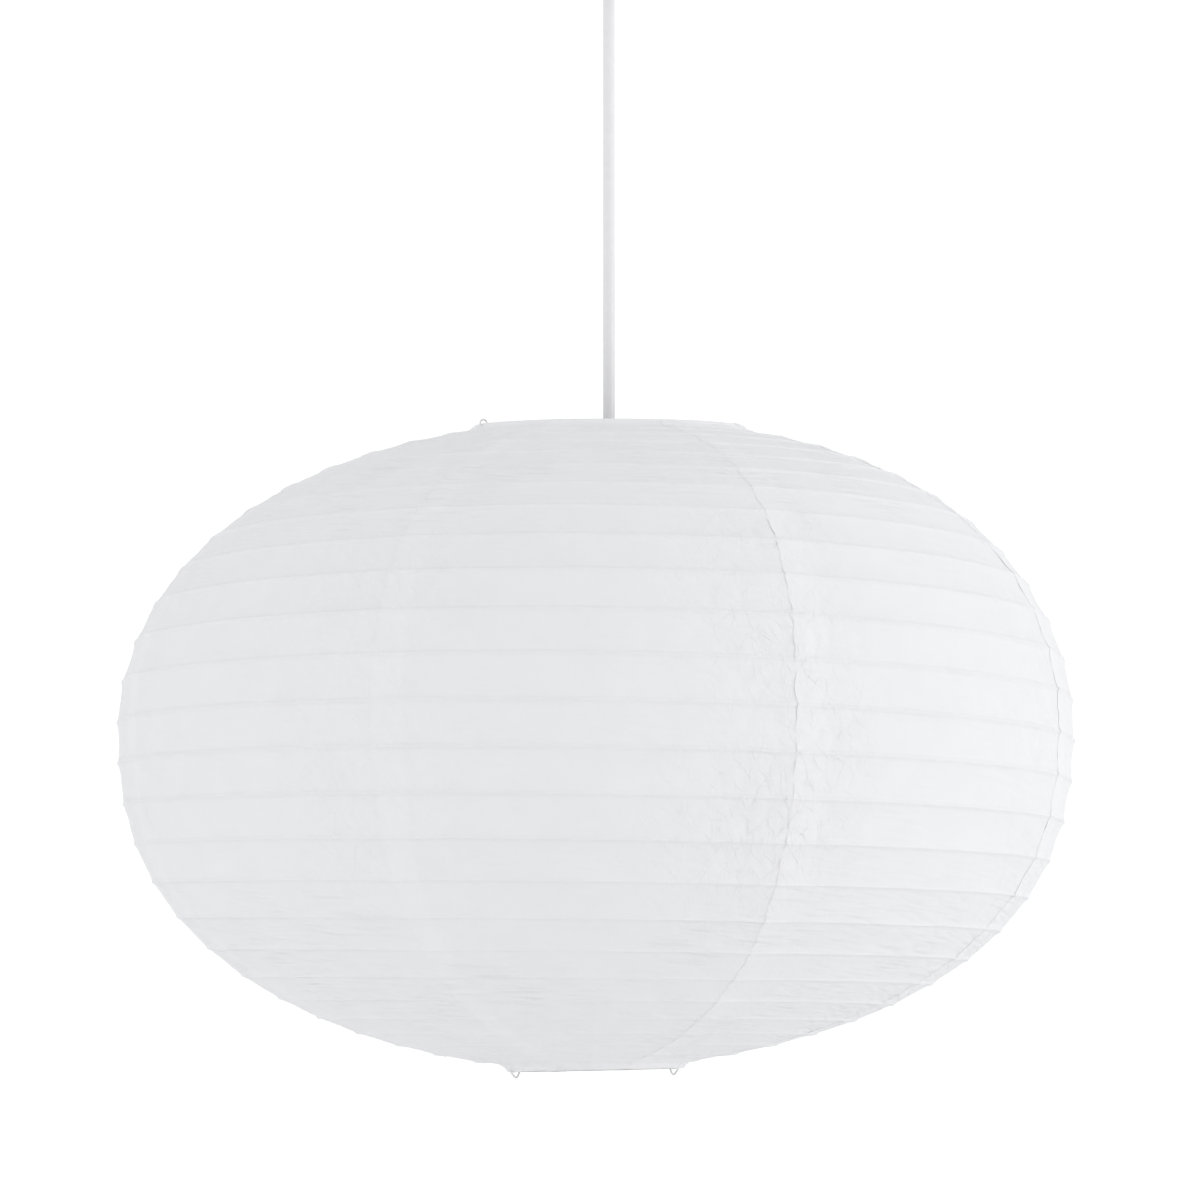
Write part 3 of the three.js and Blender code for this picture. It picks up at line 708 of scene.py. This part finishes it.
# How far the paper stands out of its smooth shape, or in.
SAG, SLACK = 0.95 * MM, 0.35  # between two ribs, and the share by which that varies
CREST, CREST_WIDTH = 0.55 * MM, 0.9 * MM  # over a rib
FOLD, FINE_FOLD = 1.1 * MM, 0.4 * MM  # crumples beside the seams
FACET_LEVEL = 0.35  # facets higher than this stand out of the paper, and lower ones lie in
PLEAT = 0.6 * MM  # level creases near the rims
UPRIGHT = 0.6 * MM  # upright creases round the middle
TENT, TENT_REACH = 1.0 * MM, 11 * MM  # lifted beside a seam
CURL, CURL_REACH = 0.42 * MM, 2.5 * MM  # a glued edge that has come up a little
RAGGED, WAVY = 0.7 * MM, 0.5 * MM  # how unevenly the gores' left edges are cut
TUCKED = 3 * MM  # a gore's right edge slips under the next one over this distance
HEM = 4 * MM  # width of the paper that is doubled over the rim wires


def seam(k):
    """The angle of a gore's left edge."""
    return FRONT + FIRST_SEAM + k * TURN / GORES


def overlap_at(s):
    """Width of the glued strip, which narrows towards the rims."""
    radius = np.interp(s, S, R_OUT) / SHADE_R
    return OVERLAP * (STRIP_AT_AXIS + (1 - STRIP_AT_AXIS) * radius)


def near_seam(angle, r):
    """Distance past the nearest seam and that seam's crumpling."""
    gore_width = TURN / GORES
    count = np.floor((angle - seam(0)) / gore_width + SEAM_AHEAD)
    past = (angle - seam(0) - count * gore_width) * r
    return past, np.array(SEAM_CRUMPLE)[np.mod(count, GORES).astype(int)]


def crumpling(s, angle):
    """How crumpled the paper is: most beside the seams, at the shade's middle height."""
    r = np.interp(s, S, R_OUT)
    past, strength = near_seam(angle, r)
    before = smooth(-CRUMPLE_REACH["before"], -CRUMPLE_FULL["before"], past) * (past < 0)
    after = smooth(CRUMPLE_REACH["after"], CRUMPLE_FULL["after"], past) * (past >= 0)
    middle = 1 - smooth(0.3, 0.75, np.abs(share(np.interp(s, S, Z_OUT))))
    patchy = 0.85 + 0.5 * patches(angle, s, 42 * MM, 34 * MM, 12)
    return np.clip(strength * (before + after) * (0.2 + 0.8 * middle) * patchy, 0, 1), middle


def standing_out(s, angle):
    """How far the paper stands out of its smooth shape, and how crumpled it is, 0 to 1."""
    phase = rib_phase(s, angle)
    between = phase - np.floor(phase)
    to_rib = np.minimum(between, 1 - between)
    slack = 1 + SLACK * patches(angle, s, 50 * MM, 1.3 * RIB_PITCH, 3)
    crumple, middle = crumpling(s, angle)
    sag = SAG * slack * (0.3 + 0.7 * middle) * (1 - (1 - 2 * to_rib) ** 2)
    rib = np.exp(-((to_rib * RIB_PITCH / CREST_WIDTH) ** 2))
    crest = CREST * rib
    free = 0.2 + 0.8 * smooth(0.0, 0.16, to_rib)
    warped = angle + 0.02 * patches(angle, s, 26 * MM, 22 * MM, 21)
    fold = FOLD * (facets(warped, s, 14 * MM, 31, shear=0.5) - FACET_LEVEL)
    fold = fold + FINE_FOLD * (facets(warped, s, 7 * MM, 37, shear=-0.4) - FACET_LEVEL)
    fold = fold * (0.04 + crumple)
    level = creases(angle, s, 55 * MM, 4.5 * MM, 51)
    level = level * (0.3 + 0.7 * creases(angle, s, 45 * MM, 30 * MM, 61))
    pleat = PLEAT * level * (1 - middle)
    here = smooth(0.0, 0.6, patches(angle, s, 70 * MM, 80 * MM, 81))
    upright = UPRIGHT * creases(angle, s, 9 * MM, 34 * MM, 71) * here * middle * free
    edge = smooth(0, 8 * MM, s) * smooth(0, 8 * MM, LENGTH - s)
    past, strength = near_seam(angle, np.interp(s, S, R_OUT))
    reach = np.where(np.interp(s, S, Z_OUT) < EQUATOR_Z, 0.6 + 0.4 * middle, middle)
    tent = TENT * strength * reach * np.exp(-np.abs(past) / TENT_REACH)
    out = (fold * free + upright + tent - pleat * free - sag + crest) * edge
    return out, crumple, 1 - middle, rib


def gore_grid(k):
    """Arc length and angle of one gore's points, in rows that follow the ribs."""
    first = int(math.floor(RIB_TURNS[0])) - 2
    count = int(RIB_TURNS[-1] - RIB_TURNS[0]) + 5
    phases = np.array([first + i + at for i in range(count) for at in ROWS_AT])[:, None]
    across = np.linspace(0, 1, COLUMNS)[None, :]
    nominal = seam(k) + across * TURN / GORES
    s = np.interp(phases + (nominal - FRONT) / TURN, RIB_TURNS, S)
    r = np.interp(s, S, R_OUT)
    ragged = RAGGED * soft_noise(s / (4 * MM), s * 0 + k, 91)
    ragged = ragged + WAVY * soft_noise(s / (25 * MM), s * 0, 95)
    start = seam(k) + ragged / r * (1 - smooth(0, 0.1, across))
    angle = start + across * (seam(k + 1) + overlap_at(s) / r - seam(k))
    return s, angle


def gore(k):
    """One gore: its left edge lies on the gore before, its right edge under the next."""
    s, angle = gore_grid(k)
    r = np.interp(s, S, R_OUT)
    strip = overlap_at(s)
    out, crumple, pleats, rib = standing_out(s, angle)
    past_left = (angle - seam(k)) * r
    over = smooth(1.3 * strip, strip, past_left)
    under = smooth(0, TUCKED, (angle - seam(k + 1)) * r)
    curl = CURL * smooth(CURL_REACH, 0, past_left) * crumple
    curl = curl * patches(angle, s, 5 * MM, 4 * MM, 97)
    out = out + PAPER * (1 + 1.1 * over - 2 * under) + curl
    top = settle(on_shell(s, angle, -out))
    low = settle(on_shell(s, angle, -out + PAPER))
    hem = np.maximum(smooth(HEM, 0.85 * HEM, s), smooth(HEM, 0.85 * HEM, LENGTH - s))
    glued = smooth(0, 0.1 * strip, past_left) * smooth(1.05 * strip, strip, past_left)
    layers = np.maximum(glued, hem)
    points = np.concatenate([top.reshape(-1, 3), low.reshape(-1, 3)])
    rows = len(s)
    faces = grid_faces(rows, COLUMNS) + grid_faces(rows, COLUMNS, first=rows * COLUMNS)
    faces += border_faces(rows, COLUMNS)
    values = {"layers": layers, "rib": rib, "crumple": crumple, "pleats": pleats}
    values.update({"around": angle * SHADE_R, "down": s})
    marks = {key: np.tile((value + 0 * s).ravel(), 2) for key, value in values.items()}
    thing = add_mesh("paper_%d" % (k + 1), points, faces, marks)
    stand_for(thing, "paper_gore_%d" % (k + 1))
    fold_with_shade(thing)
    return thing


def border_faces(rows, columns):
    """The four narrow edges that join a grid's outer and inner sheets."""
    edge = [(0, j) for j in range(columns)]
    edge += [(i, columns - 1) for i in range(1, rows)]
    edge += [(rows - 1, j) for j in range(columns - 2, -1, -1)]
    edge += [(i, 0) for i in range(rows - 2, -1, -1)]
    at = [i * columns + j for i, j in edge]
    shift = rows * columns
    return [(a, b, b + shift, a + shift) for a, b in zip(at, at[1:])]


def fold_with_shade(thing):
    """Gives the paper or the rib wire a mesh of its own, unshared with other objects."""
    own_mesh(thing)


def rib_wire():
    s = np.linspace(3 * MM, LENGTH - 3 * MM, int(72 * (RIB_TURNS[-1] - RIB_TURNS[0])))
    angle = FRONT + np.interp(s, S, RIB_TURNS) * TURN
    path = settle(on_shell(s, angle, FOLD_R))
    thing = tube("rib_wire", path, WIRE_R, sides=6)
    stand_for(thing, "rib_spiral")
    fold_with_shade(thing)


# ---- lampholder, bulb and canopy -----------------------------------------------------------------

# These sizes are in millimetres, and lathe() turns them to metres.
GAP = 0.3  # between pieces that touch
CUP = {"radius": 50, "depth": 48, "wall": 2, "corner": 9, "hole": 5.3}
GLAND = {"bore": 3.5, "nipple_r": 5, "flange_r": 9.5, "flange": 3, "nose_r": 7, "mouth_r": 5.4}
GLAND_Z = {"top": -40, "bottom": -66, "nose": 2, "chamfer": 0.6, "flare": 8}
CAP = {"bore": 3.5, "neck_r": 7, "shoulder_r": 13, "under_r": 12, "dome_r": 20, "wall": 2.2}
CAP_Z = {"top": -318, "neck": -328, "dome": -340, "end": -346, "round": 3, "chamfer": 1}
SKIRT = {"insert_r": 17.2, "flange_r": 21.5, "flange": 3, "radius": 19.2, "lamp_r": 14.8}
SKIRT_Z = {"end": -383, "ledge": -355, "chamfer": 1}
RING = {"top": -352.5, "height": 7, "radius": 27, "wall": 2.5, "chamfer": 1}
SHELL = {"radius": 13.1, "wall": 1.5, "top": -362.3, "end": -384, "threads": 6, "depth": 0.9}
GLASS = {"ball": 30, "bottom": -466, "neck_r": 12.4, "wall": 1, "join": 0.6, "straight": 0.45}


def cup_profile():
    radius, depth, wall, corner, hole = CUP.values()
    outer, inner = [], []
    for t in np.linspace(0, TURN / 4, 13):
        away, down = math.cos(t), math.sin(t)
        outer.append((radius - corner + corner * away, -depth + corner - corner * down))
        lesser = corner - wall
        inner.append((radius - corner + lesser * away, -depth + corner - lesser * down))
    edge = [(hole, -depth), (hole, -depth + wall)]
    return [(radius, -GAP)] + outer + edge + inner[::-1] + [(radius - wall, -GAP)]


def gland_profile():
    """A nipple, a flange under the cup and a cone that narrows to the cord."""
    bore, nipple_r, flange_r, flange, nose_r, mouth_r = GLAND.values()
    top, bottom, nose, chamfer, flare = GLAND_Z.values()
    under = -CUP["depth"] - GAP
    stem = [(bore, top), (nipple_r, top), (nipple_r, under)]
    rim = [(flange_r, under), (flange_r, under - flange)]
    tip = [(nose_r, bottom + nose), (nose_r - chamfer, bottom), (mouth_r, bottom)]
    return stem + rim + tip + [(bore, bottom + flare)]


def cap_profile():
    """A neck for the cord, a sloping shoulder and a straight wall."""
    bore, neck_r, shoulder_r, under_r, dome_r, wall = CAP.values()
    top, neck_z, dome_z, end, drop, chamfer = CAP_Z.values()
    stem = [(bore, top), (neck_r - chamfer, top), (neck_r, top - chamfer), (neck_r, neck_z)]
    dome = [(shoulder_r, neck_z - drop), (dome_r - 2 * chamfer, dome_z + drop), (dome_r, dome_z)]
    foot = [(dome_r, end), (dome_r - wall, end), (dome_r - wall, dome_z)]
    return stem + dome + foot + [(under_r, neck_z - drop - wall), (bore, neck_z - wall)]


def skirt_profile():
    """A flange under the cap and a sleeve with a ledge that the insert rests on."""
    insert_r, flange_r, flange, radius, lamp_r = SKIRT.values()
    end, ledge, chamfer = SKIRT_Z.values()
    top = CAP_Z["end"] - GAP
    rim = [(insert_r, top), (flange_r, top), (flange_r, top - flange), (radius, top - flange)]
    foot = [(radius, end + chamfer), (radius - chamfer, end), (lamp_r, end)]
    return rim + foot + [(lamp_r, ledge), (insert_r, ledge)]


def ring_profile():
    """A screwed ring with a groove in its underside."""
    top, height, radius, wall, chamfer = RING.values()
    bore = SKIRT["radius"] + GAP
    outer = [(bore, top), (radius - chamfer, top), (radius, top - chamfer), (radius, top - height)]
    groove = [(radius - wall, top - height), (radius - wall, top - wall)]
    inner = [(bore + wall, top - wall), (bore + wall, top - height), (bore, top - height)]
    return outer + groove + inner


def shell_profile():
    """The rolled screw thread as round waves, and a plain bore."""
    radius, wall, top, end, threads, depth = SHELL.values()
    steps = 12 * threads
    waves = []
    for i in range(steps + 1):
        wave = depth / 2 * (1 + math.cos(i / steps * threads * TURN))
        waves.append((radius - wave, top + (end - top) * i / steps))
    return waves + [(radius - wall, end), (radius - wall, top)]


def glass_profile():
    """A ball that runs up into the neck, blown hollow."""
    ball, bottom, neck_r, wall, join, straight = GLASS.values()
    neck_z = SHELL["end"] - GAP
    ball_z = bottom + ball
    line = []
    for t in np.linspace(-TURN / 4, math.asin(join), 40):
        line.append((ball * math.cos(t), ball_z + ball * math.sin(t)))
    start_r, start_z = line[-1]
    for t in np.linspace(0, 1, 16)[1:]:
        ease = straight * t + (1 - straight) * (3 * t * t - 2 * t**3)
        line.append((start_r + (neck_r - start_r) * ease, start_z + (neck_z - start_z) * t))
    inner = [(max(r - wall, 0), z + wall * (0.5 if r < wall else 0)) for r, z in line]
    line[0] = (0, bottom)
    inner[0] = (0, bottom + wall)
    return line + inner[::-1]


def lathed_parts():
    """The round parts that the CAD frame has with few sides, turned smooth and edges softened."""
    profiles = {
        "canopy_cup": cup_profile(),
        "gland_body": gland_profile(),
        "holder_cap": cap_profile(),
        "holder_skirt": skirt_profile(),
        "shade_ring": ring_profile(),
        "bulb_cap": shell_profile(),
    }
    for node, profile in profiles.items():
        stand_for(lathe(node + "_turned", profile), node)
    stand_for(lathe("bulb_glass_blown", glass_profile(), bevel=0), "bulb_glass")


# ---- expander ------------------------------------------------------------------------------------

TURNED = math.radians(25)  # its left end stands forward of the cord by this angle
BAR_R = 43.2 * MM
ARM_Z = -350.9 * MM
SHOULDER_Z = -331 * MM
HOLDER_R = 19.2 * MM  # the lampholder's skirt, which the two short wires pass round
EYE_R = 1.8 * MM
EYE_OUT = 0.8 * MM  # the eye's centre stands this far outside the rim wire's
EYE_FROM, EYE_TURNS = -0.12, 0.86
LEG_IN, LEG_DOWN = 6 * MM, 5 * MM  # from the eye to the top of the leg
HOOK_OUT, HOOK_DROP = 3.2 * MM, 5 * MM
FINE_WIRE_R = 0.5 * MM


def on_expander(along, z, centre=0.0, out=0.0):
    """A point in the expander's upright plane, and so far out of it."""
    c, s = math.cos(TURNED), math.sin(TURNED)
    return np.array((centre + along * c - out * s, along * s + out * c, z))


def rim_height(side, radius, z):
    """Height of a rim where a side bar meets it, once the rim has settled."""
    return float(settle(on_expander(side * radius, z))[2])


def rounded(corners, reach):
    """Corner points of a bent wire, with each corner rounded off."""
    steps = 8
    path = [corners[0]]
    for before, at, after in zip(corners, corners[1:], corners[2:]):
        ends = []
        for other in (before, after):
            away = np.linalg.norm(other - at)
            ends.append(at + (other - at) * min(reach / away, 0.45))
        for t in np.linspace(0, 1, steps):
            path.append(ends[0] * (1 - t) ** 2 + 2 * at * t * (1 - t) + ends[1] * t * t)
    path.append(corners[-1])
    return path


def side_bar(side):
    """A side bar: an eye on the top rim, a shoulder, the long bar and the hook at the bottom."""
    eye_z = rim_height(side, TOP_RIM_R, TOP_RIM_Z) + 2 * FINE_WIRE_R
    hook_z = rim_height(side, BOTTOM_RIM_R, BOTTOM_RIM_Z)
    steps = 32
    eye = []
    for i in range(steps + 1):
        a = (EYE_TURNS * i / steps + EYE_FROM) * TURN
        along = side * (TOP_RIM_R + EYE_OUT - EYE_R * math.cos(a))
        aside = side * FINE_WIRE_R * (1 - i / steps)
        eye.append(on_expander(along, eye_z + EYE_R * math.sin(a), 0, aside))
    corners = [
        eye[-1],
        on_expander(side * (TOP_RIM_R - LEG_IN), eye_z - LEG_DOWN),
        on_expander(side * BAR_R, SHOULDER_Z, SWAY),
        on_expander(side * BAR_R, hook_z - 0.5 * MM, SWAY),
        on_expander(side * (BOTTOM_RIM_R - 0.4 * MM), hook_z - HOOK_DROP, SWAY),
        on_expander(side * (BOTTOM_RIM_R + HOOK_OUT), hook_z, SWAY),
    ]
    return eye[:-1] + rounded(corners, 3 * MM)


def holder_wire(side):
    """One of the two wires from bar to bar that pass round the lampholder."""
    ring_r = HOLDER_R + FINE_WIRE_R + 0.1 * MM
    apart = 0.75 * MM
    end = BAR_R - 1 * MM
    reach = math.sqrt(ring_r**2 - apart**2)
    first, last = math.atan2(apart, -reach), math.atan2(apart, reach)
    bend = []
    for a in np.linspace(first, last, 33):
        bend.append(on_expander(ring_r * math.cos(a), ARM_Z, 0, side * ring_r * math.sin(a)))
    ends = [on_expander(way * end, ARM_Z, SWAY, side * apart) for way in (-1, 1)]
    return [ends[0]] + bend + [ends[1]]


def expander():
    for name, side in (("left", -1), ("right", 1)):
        bar = tube("expander_bar_%s_wire" % name, side_bar(side), FINE_WIRE_R)
        stand_for(bar, "expander_bar_" + name)
    for name, side in (("front", -1), ("back", 1)):
        arm = tube("holder_wire_%s_bent" % name, holder_wire(side), FINE_WIRE_R)
        stand_for(arm, "holder_wire_" + name)


def rim(name, node, radius, z):
    steps = 160
    a = np.arange(steps) * TURN / steps
    level = np.stack([radius * np.cos(a), radius * np.sin(a), np.full_like(a, z)], axis=-1)
    stand_for(tube(name, settle(level), WIRE_R, sides=10, closed=True), node)


# ---- the whole lamp ------------------------------------------------------------------------------

camera()
finish_cad_nodes()
cord()
surroundings()
floor()
rib_wire()
rim("top_rim", "top_rim_wire", TOP_RIM_R, TOP_RIM_Z)
rim("bottom_rim", "bottom_rim_wire", BOTTOM_RIM_R, BOTTOM_RIM_Z)
expander()
lathed_parts()
for number in range(GORES):
    gore(number)
